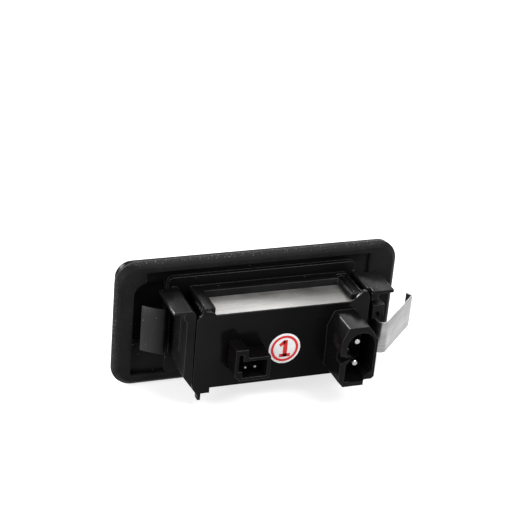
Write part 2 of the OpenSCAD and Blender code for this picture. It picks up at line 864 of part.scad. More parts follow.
module lens() {
    edge = rebate - fit;
    color([0.85, 0.9, 0.95, 0.5]) {
        behind(bezel_front, lens_seat)
            rounded(pan_x0 - edge, pan_x1 + edge, pan_z0 - edge, pan_z1 + edge, 3 - fit);
        behind(bezel_front - lens_crown, bezel_front + sink)
            rounded(pan_x0 + 1, pan_x1 - 1, pan_z0 + 1, pan_z1 - 1, 2);
    }
}

module led_board() {
    color([0.92, 0.92, 0.9])
        difference() {
            behind(-board_back - board_t, -board_back)
                rounded(board_x0, board_x1, board_z0, board_z1, 0.6);
            for (x = [board_x0 + stake_in, board_x1 - stake_in])
                for (z = [board_z0 + stake_in, board_z1 - stake_in])
                    bar(x, z, stake_r + 0.1, -board_back - board_t - over, over);
            for (z = post_z)
                bar(post_x, z, post_r + 0.05, -board_back - board_t - over, over);
        }
}

// One diode: a white package with a round pool of phosphor, numbered along the rows
module led(index) {
    column = index % led_columns;
    row = floor(index / led_columns);
    x0 = board_x0 + led_margin_x;
    z0 = board_z0 + led_margin_z;
    x = x0 + column * (board_x1 - led_margin_x - x0) / (led_columns - 1);
    z = z0 + row * (board_z1 - led_margin_z - z0) / (led_rows - 1);
    front = -board_back - board_t;
    color([0.95, 0.93, 0.75])
        difference() {
            slab(x - led_len / 2, x + led_len / 2, front - led_t, front, z - led_wid / 2, z + led_wid / 2);
            bar(x, z, 0.38 * led_wid, front - led_t - over, front - led_t + 0.2);
        }
}

module driver_board() {
    color([0.1, 0.35, 0.2])
        difference() {
            behind(driver_depth, driver_back)
                rounded(in_x0 + board_edge, in_x1 - board_edge,
                    in_low + snap_t + board_margin, in_top - sink_t - board_margin, 0.6);
            for (z = [plug_z, plug_z - plug_pitch])
                bar(plug_x, z, tail_r + 0.05, driver_depth - over, driver_back + over);
            for (side = [-1, 1])
                bar(link_x + side * link_pitch / 2, link_pin_z, link_pin_r + 0.05,
                    driver_depth - over, driver_back + over);
            for (z = post_z)
                bar(post_x, z, post_r + 0.05, driver_depth - over, driver_back + over);
        }
}

module load_resistor(index) {
    top = in_top - sink_t - board_margin - resistor_margin - resistor_pitch * (index - 1);
    x = link_x + link_half + resistor_gap;
    color([0.15, 0.15, 0.17])
        slab(x, x + resistor_size[0], driver_depth - resistor_size[2], driver_depth,
            top - resistor_size[1], top);
}

module polarity_diode() {
    x = sticker_x + diode_x;
    color(black)
        slab(x, x + diode_size[0], driver_depth - diode_size[2], driver_depth,
            body_mid - diode_size[1] / 2, body_mid + diode_size[1] / 2);
}

module board_post(index) {
    color([0.85, 0.7, 0.35])
        bar(post_x, post_z[index], post_r, -board_back - board_t - 0.4, driver_back + 0.5);
}

// Main pin: a round contact with a thinner tail soldered in the driver board
module main_pin(drop) {
    z = plug_z - drop;
    color([0.85, 0.84, 0.8]) {
        bar(plug_x, z, plug_collar_r, driver_back + 0.3, plug_floor);
        bar(plug_x, z, plug_pin_r, plug_floor - sink, plug_tip - tip_bevel);
        bar(plug_x, z, tail_r, tail_end, driver_back + 0.5);
        translate([plug_x, -plug_tip + tip_bevel, z])
            rotate([90, 0, 0])
                cylinder(r1 = plug_pin_r, r2 = plug_pin_r - tip_bevel, h = tip_bevel);
    }
}

module link_header() {
    w = link_half - link_wall;
    h = link_half_h - link_wall;
    floor_depth = link_back - link_cavity;
    color(black)
        difference() {
            behind(driver_back, link_back)
                link_outline(0);
            behind(floor_depth, link_back + over)
                translate([link_x, link_z])
                    polygon([
                        [-w + 1.4, -h], [w, -h], [w, h], [-w + 1.6, h], [-w + 1.6, h + 2.4],
                        [-w, h + 2.4], [-w, -h + 2.4], [-w + 1.4, -h + 2.4]]);
            for (side = [-1, 1])
                bar(link_x + side * link_pitch / 2, link_pin_z, link_pin_r + 0.02,
                    driver_back - over, floor_depth + over);
        }
}

module link_pin(side) {
    color([0.85, 0.84, 0.8])
        bar(link_x + side * link_pitch / 2, link_pin_z, link_pin_r, driver_depth - 1, link_tip);
}

// One side of the bent sheet, at a distance from its middle: root, bend, free arm and flap
function leaf_side(offset) =
    let (
        end = 270 + spring_angle,
        turn = spring_turn,
        bend = [spring_bend_r, -body_depth - 0.1],
        out = [cos(end), sin(end)],
        ahead = [-sin(end), cos(end)],
        tip = bend + (spring_bend_r - spring_tip_r) * out + spring_arm * ahead,
        flap_out = [cos(end + turn), sin(end + turn)],
        flap_ahead = [-sin(end + turn), cos(end + turn)])
    concat(
        [[-offset, -spring_root]],
        arc(bend, spring_bend_r + offset, 180, end),
        arc(tip, spring_tip_r + offset, end, end + turn),
        [tip + (spring_tip_r + offset) * flap_out + spring_flap * flap_ahead]);

// Steel leaf: a root with a tab in the holder's slot, a tight bend, the free arm and a short flap
module retaining_spring() {
    half = spring_t / 2;
    color([0.78, 0.78, 0.78])
        translate([spring_x, 0, spring_low]) {
            linear_extrude(spring_w)
                polygon(concat(leaf_side(half), reversed(leaf_side(-half))));
            translate([-half, 2 - body_depth, spring_w - sink])
                cube([spring_t, body_depth - 2 - right_plate_front - 3, 2.4 + sink]);
        }
}

module side_sticker() {
    color([0.95, 0.95, 0.95])
        bar(sticker_x, sticker_z, sticker_d / 2, body_depth, body_depth + sticker_t);
}

rubber_seal();
housing();
rear_cover();
heat_sink_plate();
lens();
led_board();
driver_board();
for (i = [1 : led_count])
    led(i - 1);
for (i = [1 : 3])
    load_resistor(i);
polarity_diode();
board_post(0);  // board_post_lower
board_post(1);  // board_post_upper
main_pin(0);  // main_pin_upper
main_pin(plug_pitch);  // main_pin_lower
link_header();
link_pin(-1);  // link_pin_left
link_pin(1);  // link_pin_right
retaining_spring();
side_sticker();
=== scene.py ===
import math

import bmesh
import bpy
from mathutils import Matrix, Vector


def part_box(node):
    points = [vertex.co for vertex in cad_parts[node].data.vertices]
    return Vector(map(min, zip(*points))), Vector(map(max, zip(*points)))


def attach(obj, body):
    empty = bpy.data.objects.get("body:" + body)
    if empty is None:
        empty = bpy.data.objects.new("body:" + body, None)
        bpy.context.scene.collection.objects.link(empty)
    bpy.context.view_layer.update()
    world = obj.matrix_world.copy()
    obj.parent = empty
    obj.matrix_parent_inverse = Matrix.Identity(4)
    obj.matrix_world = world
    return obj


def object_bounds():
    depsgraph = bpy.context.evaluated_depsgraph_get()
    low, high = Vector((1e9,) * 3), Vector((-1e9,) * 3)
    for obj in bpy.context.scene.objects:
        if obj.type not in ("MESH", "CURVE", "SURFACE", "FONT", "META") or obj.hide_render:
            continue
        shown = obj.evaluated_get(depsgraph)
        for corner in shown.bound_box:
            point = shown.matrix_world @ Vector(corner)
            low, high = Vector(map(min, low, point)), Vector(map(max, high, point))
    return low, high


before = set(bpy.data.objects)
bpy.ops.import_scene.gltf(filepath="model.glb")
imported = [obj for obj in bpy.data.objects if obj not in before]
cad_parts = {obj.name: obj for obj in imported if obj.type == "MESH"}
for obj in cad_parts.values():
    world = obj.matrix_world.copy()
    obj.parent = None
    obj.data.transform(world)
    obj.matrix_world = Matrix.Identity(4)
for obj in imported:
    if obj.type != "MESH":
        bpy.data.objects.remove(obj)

cad_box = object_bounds()

MM = 0.001

# Camera, where the photograph was taken from
CAMERA_PLACE = Vector((-177.6, -425.6, 270.4)) * MM
CAMERA_AZIMUTH = math.radians(-22.36)
CAMERA_ELEVATION = math.radians(26.1)
CAMERA_ROLL = math.radians(5.12)
CAMERA_LENS = 109
CAMERA_SENSOR = 36
CAMERA_NEAR = 0.01

# The floor's size and drop below the part, its own colour, what is added to it for rays that
# look at it, and the world's light
FLOOR_SIZE = 6
FLOOR_DROP = 0.1 * MM
FLOOR_TONE = 0.42
FLOOR_LIFT = 0.71
WORLD_LIGHT = 0.45

# Softboxes: name, place in metres, width and height, and power in watts
SOFTBOXES = [
    ("softbox_key", (0.3, -0.42, 0.74), (0.42, 0.42), 6.0),
    ("softbox_left", (-0.85, -0.28, 0.32), (0.5, 0.5), 8.0),
    ("softbox_back", (0.25, 0.6, 0.5), (0.5, 0.35), 2.0),
    ("rim_left", (-0.4, 0.66, 0.4), (0.2, 0.32), 14.0),
]

# Gloss of black plastic and of rubber, against 0.5 for clear glass
BLACK_GLOSS = 0.055
RUBBER_GLOSS = 0.045

# Where dust starts to cling to the seal and where it is full, from its outer edge
DUSTY_RIM = (1.2 * MM, 0.2 * MM)

# Dullness of the rear cover: the flat face that has it, how far out from that face it is gone
# and is whole, and where along the lamp it starts and is full, and starts to end and is gone
COVER_FACE = -17.5 * MM
COVER_FADE = (0.8 * MM, 0.2 * MM)
COVER_DULL = (-26 * MM, 14 * MM)
COVER_BRIGHT = (21 * MM, 25 * MM)

# Burnish of the tongue: where it is full and where it ends, along the lamp and towards the lens
TONGUE_RUB = (-42 * MM, -35.6 * MM)
TONGUE_OUT = (-1.6 * MM, -1.0 * MM)

# Painted shade and lower gloss in the recess round the housing's body: where they start and are
# full towards the lens, where they start to end and end at the right, and where they start and are full
# on the way up
RECESS_IN = (-4.5 * MM, -2.5 * MM)
RECESS_END = (30 * MM, 33 * MM)
RECESS_LOW = (8 * MM, 17 * MM)

# Edges of the mouldings, as a cut steel tool leaves them, of rubber, of metal parts and of the
# link's pins, and how many steps round one
MOULD_EDGE = 0.12 * MM
RUBBER_EDGE = 0.4 * MM
FINE_EDGE = 0.05 * MM
PIN_TIP = 0.2 * MM
EDGE_STEPS = 2

# Points closer than this are one, faces flatter than this are one, and sharper edges are rounded
WELD_GAP = 0.002 * MM
FLAT_ANGLE = math.radians(0.5)
SHARP_ANGLE = math.radians(32)


def socket(tree, name, kind, in_out, value=None):
    """Adds a named input or output to a shader group."""
    made = tree.interface.new_socket(name=name, in_out=in_out, socket_type=kind)
    if value is not None:
        made.default_value = value


def grey(value):
    """An opaque grey."""
    return (value, value, value, 1)


def put(tree, kind, inputs=None, **settings):
    """Adds a node, sets its attributes and fills its inputs with values or links."""
    made = tree.nodes.new(kind)
    for name, value in settings.items():
        setattr(made, name, value)
    for name, value in (inputs or {}).items():
        if isinstance(value, bpy.types.NodeSocket):
            tree.links.new(value, made.inputs[name])
        else:
            made.inputs[name].default_value = value
    return made


def maths(tree, operation, *values):
    """A Math node's result, from values or links."""
    made = put(tree, "ShaderNodeMath", dict(enumerate(values)), operation=operation)
    return made.outputs[0]


def spread(tree, value, low, high, to_low=0.0, to_high=1.0):
    """Maps a value from one range to another and clamps it."""
    inputs = {"Value": value, "From Min": low, "From Max": high, "To Min": to_low, "To Max": to_high}
    return put(tree, "ShaderNodeMapRange", inputs).outputs["Result"]


def blend_colour(tree, share, first, second):
    """Mixes two colours by a share, through the sockets that a Mix node keeps for colours."""
    return put(tree, "ShaderNodeMix", {0: share, 6: first, 7: second}, data_type="RGBA").outputs[2]


def clouds(tree, place, scale, detail=2.0, roughness=0.5):
    """A Noise node's value at a place."""
    inputs = {"Vector": place, "Scale": scale, "Detail": detail, "Roughness": roughness}
    return put(tree, "ShaderNodeTexNoise", inputs).outputs["Fac"]


def new_group(name, inputs, outputs):
    """An empty shader group with its named sockets."""
    tree = bpy.data.node_groups.new(name, "ShaderNodeTree")
    for label, kind, value in inputs:
        socket(tree, label, kind, "INPUT", value)
    for label, kind in outputs:
        socket(tree, label, kind, "OUTPUT")
    return tree, tree.nodes.new("NodeGroupInput").outputs, tree.nodes.new("NodeGroupOutput").inputs


def make_grain_group():
    """Spark-eroded grain of a moulding, or the skin of rubber: a height and a slow tone."""
    tree, given, result = new_group(
        "moulded_grain",
        [("Vector", "NodeSocketVector", None), ("Grain", "NodeSocketFloat", 4000.0),
         ("Cloud", "NodeSocketFloat", 120.0)],
        [("Height", "NodeSocketFloat"), ("Tone", "NodeSocketFloat")])
    fine = clouds(tree, given["Vector"], given["Grain"], 3.0, 0.6)
    pits = put(tree, "ShaderNodeTexVoronoi",
               {"Vector": given["Vector"], "Scale": given["Grain"]}).outputs["Distance"]
    cloud = clouds(tree, given["Vector"], given["Cloud"], 4.0, 0.55)
    tree.links.new(maths(tree, "ADD", fine, maths(tree, "MULTIPLY", pits, 0.5)), result["Height"])
    tree.links.new(spread(tree, cloud, 0.3, 0.7), result["Tone"])
    return tree


def make_dust_group():
    """White specks that lie here and there: a mask."""
    tree, given, result = new_group(
        "dust_specks",
        [("Vector", "NodeSocketVector", None), ("Cells", "NodeSocketFloat", 900.0),
         ("Share", "NodeSocketFloat", 0.1), ("Size", "NodeSocketFloat", 0.25)],
        [("Mask", "NodeSocketFloat")])
    bent = put(tree, "ShaderNodeTexNoise", {"Vector": given["Vector"], "Scale": 2500.0})
    moved = put(tree, "ShaderNodeVectorMath", {0: bent.outputs["Color"], 1: (0.0004, 0.0004, 0.0004)},
                operation="MULTIPLY").outputs["Vector"]
    place = put(tree, "ShaderNodeVectorMath", {0: given["Vector"], 1: moved},
                operation="ADD").outputs["Vector"]
    cells = put(tree, "ShaderNodeTexVoronoi", {"Vector": place, "Scale": given["Cells"]})
    chance = put(tree, "ShaderNodeSeparateColor", {"Color": cells.outputs["Color"]}).outputs["Red"]
    chosen = maths(tree, "LESS_THAN", chance, given["Share"])
    near = maths(tree, "LESS_THAN", cells.outputs["Distance"], given["Size"])
    tree.links.new(maths(tree, "MULTIPLY", chosen, near), result["Mask"])
    return tree


def make_streak_group():
    """Rolling lines of sheet metal: fine lines along one axis, and slow clouds."""
    tree, given, result = new_group(
        "rolled_lines",
        [("Vector", "NodeSocketVector", None), ("Stretch", "NodeSocketVector", (1.0, 1.0, 1.0))],
        [("Lines", "NodeSocketFloat"), ("Clouds", "NodeSocketFloat")])
    drawn = put(tree, "ShaderNodeVectorMath", {0: given["Vector"], 1: given["Stretch"]},
                operation="MULTIPLY").outputs["Vector"]
    lines = clouds(tree, drawn, 1.0, 4.0, 0.65)
    slow = clouds(tree, given["Vector"], 160.0, 3.0)
    tree.links.new(lines, result["Lines"])
    tree.links.new(spread(tree, slow, 0.3, 0.7), result["Clouds"])
    return tree


# The sticker's print, as shares of its radius: the ring, and the strokes of a plain 1 as X, Z,
# width, height and turn in degrees
RING_INNER = 0.71
RING_OUTER = 0.87
RING_STEPS = 72
NUMERAL_STROKES = [
    (0.04, 0.0, 0.27, 1.12, 0),
    (0.04, -0.46, 0.7, 0.21, 0),
    (-0.15, 0.36, 0.44, 0.21, -42),
]

# Thickness of the print, and how near its points are one
INK = 0.02 * MM
INK_GAP = 0.0005 * MM

# Pool of a diode, as the part has it, the shape of the dome in it, and the names of the diodes
POOL_SHARE = 0.37
POOL_DEPTH = 0.18 * MM
DOME_RISE = 0.3
DOME_SIDES = 24
DOME_RINGS = 12
DIODES = sorted(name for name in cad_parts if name.startswith("led_") and name != "led_board")

# Solder at a post: its foot, its tip, the rounding of both and the edges that take it
SOLDER_FOOT = 0.95 * MM
SOLDER_TIP = 0.42 * MM
SOLDER_EDGE = 0.12 * MM
SOLDER_CORNER = math.radians(50)
SOLDER_SIDES = 28

GRAIN = make_grain_group()
DUST = make_dust_group()
STREAKS = make_streak_group()


def new_material(name):
    """An empty material with its shader: the tree, the shader and the object's coordinates."""
    material = bpy.data.materials.new(name)
    material.use_nodes = True
    tree = material.node_tree
    shader = tree.nodes["Principled BSDF"]
    place = tree.nodes.new("ShaderNodeTexCoord").outputs["Object"]
    return material, tree, shader, place


def new_black(name, gloss=BLACK_GLOSS):
    """The start of a black plastic or rubber, with its low gloss."""
    material, tree, shader, place = new_material(name)
    shader.inputs["Specular IOR Level"].default_value = gloss
    return material, tree, shader, place


def group(tree, group_tree, **inputs):
    """Places a shader group with its own values."""
    return put(tree, "ShaderNodeGroup", inputs, node_tree=group_tree).outputs


def bump(tree, height, depth, normal=None):
    """A Bump node's normal, with its depth as a real size."""
    inputs = {"Height": height, "Distance": depth}
    if normal is not None:
        inputs["Normal"] = normal
    return put(tree, "ShaderNodeBump", inputs).outputs["Normal"]


def make_rubber():
    """Matt black rubber with a fine grain and dust that clings to its outer edge."""
    material, tree, shader, place = new_black("seal_rubber_skin", RUBBER_GLOSS)
    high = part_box("rubber_seal")[1]
    grain = group(tree, GRAIN, Vector=place, Grain=3200.0, Cloud=90.0)
    dust = group(tree, DUST, Vector=place, Cells=2800.0, Share=0.16, Size=0.3)["Mask"]
    axes = put(tree, "ShaderNodeSeparateXYZ", {"Vector": place}).outputs
    inner, outer = DUSTY_RIM
    end = spread(tree, maths(tree, "ABSOLUTE", axes["X"]), high.x - inner, high.x - outer)
    top = spread(tree, axes["Z"], high.z - inner, high.z - outer)
    edge = maths(tree, "MAXIMUM", end, top)
    worn = maths(tree, "MULTIPLY", edge, spread(tree, grain["Height"], 0.45, 0.95))
    base = blend_colour(tree, grain["Tone"], grey(0.006), grey(0.012))
    skin = blend_colour(tree, worn, base, (0.035, 0.035, 0.034, 1))
    dusty = maths(tree, "MULTIPLY", dust, maths(tree, "ADD", 0.05, maths(tree, "MULTIPLY", edge, 0.6)))
    tree.links.new(blend_colour(tree, dusty, skin, (0.34, 0.34, 0.33, 1)), shader.inputs["Base Color"])
    tree.links.new(spread(tree, grain["Tone"], 0, 1, 0.46, 0.58), shader.inputs["Roughness"])
    tree.links.new(bump(tree, grain["Height"], 0.02 * MM), shader.inputs["Normal"])
    return material


def make_moulding():
    """Satin black moulding of the housing: burnished where the tongue rubs, with painted shade and lower
    gloss in its recess.
    """
    material, tree, shader, place = new_black("housing_moulding")
    axes = put(tree, "ShaderNodeSeparateXYZ", {"Vector": place}).outputs
    rubbed = maths(tree, "MULTIPLY", spread(tree, axes["X"], *TONGUE_RUB, 1, 0),
                   spread(tree, axes["Y"], *TONGUE_OUT, 1, 0))
    inside = maths(tree, "MULTIPLY", spread(tree, axes["Y"], *RECESS_IN),
                   spread(tree, axes["X"], *RECESS_END, 1, 0))
    # Mask of the painted shade and lower gloss in the upper part of the recess round the body
    recess_shade_and_dulling = maths(tree, "MULTIPLY", inside, spread(tree, axes["Z"], *RECESS_LOW))
    gloss = spread(tree, recess_shade_and_dulling, 0, 1, BLACK_GLOSS, 0.4 * BLACK_GLOSS)
    tree.links.new(maths(tree, "ADD", gloss, maths(tree, "MULTIPLY", rubbed, 5 * BLACK_GLOSS)),
                   shader.inputs["Specular IOR Level"])
    grain = group(tree, GRAIN, Vector=place, Grain=5200.0, Cloud=140.0)
    dust = group(tree, DUST, Vector=place, Cells=1100.0, Share=0.05, Size=0.13)["Mask"]
    skin = blend_colour(tree, grain["Tone"], grey(0.004), grey(0.008))
    # Painted shade: the base colour is darkened in the recess by the same mask that lowers the gloss
    # there
    base = blend_colour(tree, recess_shade_and_dulling, skin, grey(0.003))
    tree.links.new(blend_colour(tree, maths(tree, "MULTIPLY", dust, 0.5), base, (0.4, 0.4, 0.38, 1)),
                   shader.inputs["Base Color"])
    tree.links.new(spread(tree, grain["Tone"], 0, 1, 0.26, 0.36), shader.inputs["Roughness"])
    tree.links.new(bump(tree, grain["Height"], 0.006 * MM), shader.inputs["Normal"])
    return material


def make_edge(name, gloss, rough):
    """Edge of a moulding, burnished where the halves of the tool met and where hands rub it."""
    material, tree, shader, place = new_black(name, gloss)
    grain = group(tree, GRAIN, Vector=place, Grain=5200.0, Cloud=500.0)
    tree.links.new(blend_colour(tree, grain["Tone"], grey(0.004), grey(0.008)),
                   shader.inputs["Base Color"])
    tree.links.new(spread(tree, grain["Tone"], 0, 1, rough, rough + 0.14), shader.inputs["Roughness"])
    return material


def make_polish():
    """Polished black moulding of the rear cover: wavy, duller towards the socket, a few specks."""
    material, tree, shader, place = new_black("cover_polish")
    grain = group(tree, GRAIN, Vector=place, Grain=2600.0, Cloud=70.0)
    dust = group(tree, DUST, Vector=place, Cells=520.0, Share=0.03, Size=0.09)["Mask"]
    base = blend_colour(tree, grain["Tone"], grey(0.0025), grey(0.004))
    tree.links.new(blend_colour(tree, maths(tree, "MULTIPLY", dust, 0.45), base, (0.35, 0.35, 0.33, 1)),
                   shader.inputs["Base Color"])
    tree.links.new(spread(tree, grain["Tone"], 0, 1, 0.14, 0.24), shader.inputs["Roughness"])
    axes = put(tree, "ShaderNodeSeparateXYZ", {"Vector": place}).outputs
    rising = spread(tree, axes["X"], *COVER_DULL)
    falling = spread(tree, axes["X"], *COVER_BRIGHT, 1, 0)
    flat = spread(tree, axes["Y"], *(COVER_FACE - reach for reach in COVER_FADE))
    dull = maths(tree, "MULTIPLY", maths(tree, "MULTIPLY", rising, falling), flat)
    tree.links.new(spread(tree, dull, 0, 1, 1.3 * BLACK_GLOSS, 0.3 * BLACK_GLOSS),
                   shader.inputs["Specular IOR Level"])
    wavy = bump(tree, grain["Tone"], 0.012 * MM)
    tree.links.new(bump(tree, grain["Height"], 0.0015 * MM, normal=wavy), shader.inputs["Normal"])
    return material


def make_header_plastic():
    """Satin black moulding of the link header."""
    material, tree, shader, place = new_black("header_moulding")
    grain = group(tree, GRAIN, Vector=place, Grain=6000.0, Cloud=200.0)
    base = blend_colour(tree, grain["Tone"], (0.0025, 0.002, 0.002, 1), (0.004, 0.0035, 0.0035, 1))
    tree.links.new(base, shader.inputs["Base Color"])
    tree.links.new(spread(tree, grain["Tone"], 0, 1, 0.26, 0.36), shader.inputs["Roughness"])
    tree.links.new(bump(tree, grain["Height"], 0.004 * MM), shader.inputs["Normal"])
    return material


def make_sheet_metal(name, colour, stretch, rough_low, rough_high, depth, dusty=0.0):
    """Rolled sheet with faint lines, as dark as the depth says, and its share of dust."""
    material, tree, shader, place = new_material(name)
    rolled = group(tree, STREAKS, Vector=place, Stretch=stretch)
    darker = tuple(depth * c for c in colour[:3]) + (1,)
    specks = group(tree, DUST, Vector=place, Cells=1500.0, Share=dusty, Size=0.2)["Mask"]
    lined = blend_colour(tree, spread(tree, rolled["Lines"], 0.35, 0.65), darker, colour)
    tree.links.new(blend_colour(tree, specks, lined, (0.75, 0.75, 0.74, 1)), shader.inputs["Base Color"])
    shader.inputs["Metallic"].default_value = 1.0
    rough = maths(tree, "ADD", rolled["Lines"], rolled["Clouds"])
    tree.links.new(spread(tree, rough, 0.3, 1.5, rough_low, rough_high), shader.inputs["Roughness"])
    tree.links.new(bump(tree, rolled["Lines"], 0.006 * MM), shader.inputs["Normal"])
    return material


def make_plating(name, colour, rough):
    """Bright plated or drawn metal with a slight mottle."""
    material, tree, shader, place = new_material(name)
    mottle = clouds(tree, place, 1400.0, 3.0)
    darker = tuple(0.8 * c for c in colour[:3]) + (1,)
    tree.links.new(blend_colour(tree, mottle, darker, colour), shader.inputs["Base Color"])
    shader.inputs["Metallic"].default_value = 1.0
    tree.links.new(spread(tree, mottle, 0.3, 0.7, rough, rough + 0.12), shader.inputs["Roughness"])
    return material


def make_clear():
    """Clear polycarbonate of the lens."""
    material, tree, shader, place = new_material("lens_clear_plastic")
    haze = clouds(tree, place, 300.0, 4.0)
    shader.inputs["Base Color"].default_value = (0.94, 0.96, 0.97, 1)
    shader.inputs["IOR"].default_value = 1.58
    shader.inputs["Transmission Weight"].default_value = 1.0
    tree.links.new(spread(tree, haze, 0.3, 0.7, 0.02, 0.07), shader.inputs["Roughness"])
    return material


def make_board(name, colour, trace_colour):
    """Printed board: solder mask over copper tracks that show faintly."""
    material, tree, shader, place = new_material(name)
    upright = put(tree, "ShaderNodeMapping", {"Vector": place, "Rotation": (math.radians(90), 0, 0)})
    tracks = put(tree, "ShaderNodeTexBrick",
                 {"Vector": upright.outputs["Vector"], "Scale": 100.0, "Mortar Size": 0.035,
                  "Mortar Smooth": 0.6, "Brick Width": 1.31, "Row Height": 0.47}).outputs["Fac"]
    tree.links.new(blend_colour(tree, tracks, colour, trace_colour), shader.inputs["Base Color"])
    cloud = clouds(tree, place, 400.0)
    tree.links.new(spread(tree, cloud, 0.3, 0.7, 0.28, 0.4), shader.inputs["Roughness"])
    tree.links.new(bump(tree, tracks, 0.02 * MM), shader.inputs["Normal"])
    return material


def make_speckled(name, low, high, rough, cells=1800.0):
    """Plain part with a fine mottle of its own."""
    material, tree, shader, place = new_material(name)
    mottle = clouds(tree, place, cells, 4.0)
    tree.links.new(blend_colour(tree, spread(tree, mottle, 0.3, 0.7), low, high),
                   shader.inputs["Base Color"])
    tree.links.new(spread(tree, mottle, 0.3, 0.7, rough, rough + 0.1), shader.inputs["Roughness"])
    tree.links.new(bump(tree, mottle, 0.01 * MM), shader.inputs["Normal"])
    return material


def looking_rays(tree):
    """A value of 1 for rays that see the background, straight, mirrored or through clear plastic."""
    path = tree.nodes.new("ShaderNodeLightPath").outputs
    mirrored = maths(tree, "MAXIMUM", path["Is Glossy Ray"], path["Is Transmission Ray"])
    return maths(tree, "MAXIMUM", path["Is Camera Ray"], mirrored)


def make_floor():
    """White floor that keeps the shadow and looks white to the camera."""
    material, tree, shader = new_material("floor_white")[:3]
    shader.inputs["Base Color"].default_value = grey(FLOOR_TONE)
    shader.inputs["Roughness"].default_value = 0.9
    shader.inputs["Specular IOR Level"].default_value = 0.0
    seen = looking_rays(tree)
    glow = put(tree, "ShaderNodeEmission", {"Color": (1, 1, 1, 1),
                                            "Strength": maths(tree, "MULTIPLY", seen, FLOOR_LIFT)})
    both = put(tree, "ShaderNodeAddShader", {0: shader.outputs[0], 1: glow.outputs[0]})
    tree.links.new(both.outputs[0], tree.nodes["Material Output"].inputs["Surface"])
    return material


def dress(node, material):
    """Gives a node of the frame its finish."""
    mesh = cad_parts[node].data
    mesh.materials.clear()
    mesh.materials.append(material)


def make_smooth_tree():
    """Geometry nodes that shade every face smooth, so that only bevels turn the light."""
    tree = bpy.data.node_groups.new("smooth_faces", "GeometryNodeTree")
    for in_out in ("INPUT", "OUTPUT"):
        tree.interface.new_socket(name="Geometry", in_out=in_out, socket_type="NodeSocketGeometry")
    given = tree.nodes.new("NodeGroupInput").outputs[0]
    smooth = put(tree, "GeometryNodeSetShadeSmooth", {"Geometry": given})
    tree.links.new(smooth.outputs[0], tree.nodes.new("NodeGroupOutput").inputs[0])
    return tree


SMOOTH = make_smooth_tree()


def soften(node, width, edge_material=None):
    """Rounds a node's sharp edges; those with a finish of their own are rounded in full."""
    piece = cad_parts[node]
    if edge_material:
        piece.data.materials.append(edge_material)
    weld = piece.modifiers.new("weld", "WELD")
    weld.merge_threshold = WELD_GAP
    flat = piece.modifiers.new("flat", "DECIMATE")
    flat.decimate_type = "DISSOLVE"
    flat.angle_limit = FLAT_ANGLE
    piece.modifiers.new("smooth", "NODES").node_group = SMOOTH
    edge = piece.modifiers.new("edge", "BEVEL")
    edge.width = width
    edge.segments = EDGE_STEPS
    edge.limit_method = "ANGLE"
    edge.angle_limit = SHARP_ANGLE
    edge.use_clamp_overlap = edge_material is None
    edge.harden_normals = True
    edge.material = len(piece.data.materials) - 1


def add_camera():
    """The camera at the photograph's place and angle."""
    camera = bpy.data.objects.new("camera", bpy.data.cameras.new("camera"))
    camera.data.lens = CAMERA_LENS
    camera.data.sensor_width = CAMERA_SENSOR
    camera.data.clip_start = CAMERA_NEAR
    turn = (Matrix.Rotation(CAMERA_AZIMUTH, 4, "Z")
            @ Matrix.Rotation(math.radians(90) - CAMERA_ELEVATION, 4, "X")
            @ Matrix.Rotation(CAMERA_ROLL, 4, "Z"))
    camera.matrix_world = Matrix.Translation(CAMERA_PLACE) @ turn
    bpy.context.scene.collection.objects.link(camera)
    bpy.context.scene.camera = camera


def add_lamp(name, place, size, power):
    """A softbox that faces the middle of the part."""
    light = bpy.data.lights.new(name, "AREA")
    light.shape = "RECTANGLE"
    light.size, light.size_y = size
    light.energy = power
    lamp = bpy.data.objects.new(name, light)
    middle = sum(cad_box, Vector()) / 2
    lamp.location = place
    lamp.rotation_euler = (middle - Vector(place)).to_track_quat("-Z", "Y").to_euler()
    bpy.context.scene.collection.objects.link(lamp)


def add_stage():
    """Floor, world and softboxes."""
    bpy.ops.mesh.primitive_plane_add(size=FLOOR_SIZE, location=(0, 0, cad_box[0].z - FLOOR_DROP))
    floor = bpy.context.object
    floor.name = "floor"
    floor.data.materials.append(make_floor())
    world = bpy.data.worlds.new("studio")
    bpy.context.scene.world = world
    world.use_nodes = True
    tree = world.node_tree
    strength = spread(tree, looking_rays(tree), 0, 1, WORLD_LIGHT, 1.0)
    tree.links.new(strength, tree.nodes["Background"].inputs["Strength"])
    tree.nodes["Background"].inputs["Color"].default_value = (1, 1, 1, 1)
    for name, place, size, power in SOFTBOXES:
        add_lamp(name, place, size, power)


def add_sticker_print():
    """Ring and plain number printed on the round sticker."""
    low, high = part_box("side_sticker")
    middle = (low + high) / 2
    radius = (high.x - low.x) / 2
    mesh = bmesh.new()
    outline = ((RING_INNER, 0), (RING_OUTER, 0), (RING_OUTER, INK), (RING_INNER, INK))
    section = mesh.faces.new([mesh.verts.new((share * radius, -depth, 0)) for share, depth in outline])
    bmesh.ops.spin(mesh, geom=[section] + list(section.edges), cent=(0, 0, 0), axis=(0, 1, 0),
                   angle=math.radians(360), steps=RING_STEPS, use_merge=True, use_duplicate=False)
    if section.is_valid:
        bmesh.ops.delete(mesh, geom=[section], context="FACES_ONLY")
    for x, z, wide, tall, turn in NUMERAL_STROKES:
        stroke = (Matrix.Translation((x * radius, -INK / 2, z * radius))
                  @ Matrix.Rotation(math.radians(turn), 4, "Y")
                  @ Matrix.Diagonal((wide * radius, INK, tall * radius, 1)))
        bmesh.ops.create_cube(mesh, size=1, matrix=stroke)
    bmesh.ops.remove_doubles(mesh, verts=mesh.verts, dist=INK_GAP)
    bmesh.ops.recalc_face_normals(mesh, faces=mesh.faces)
    bmesh.ops.translate(mesh, verts=mesh.verts, vec=(middle.x, low.y - INK / 2, middle.z))
    ink = make_speckled("print_red", (0.55, 0.004, 0.004, 1), (0.66, 0.008, 0.006, 1), 0.45)
    piece = finish_piece("sticker_print", mesh, ink)


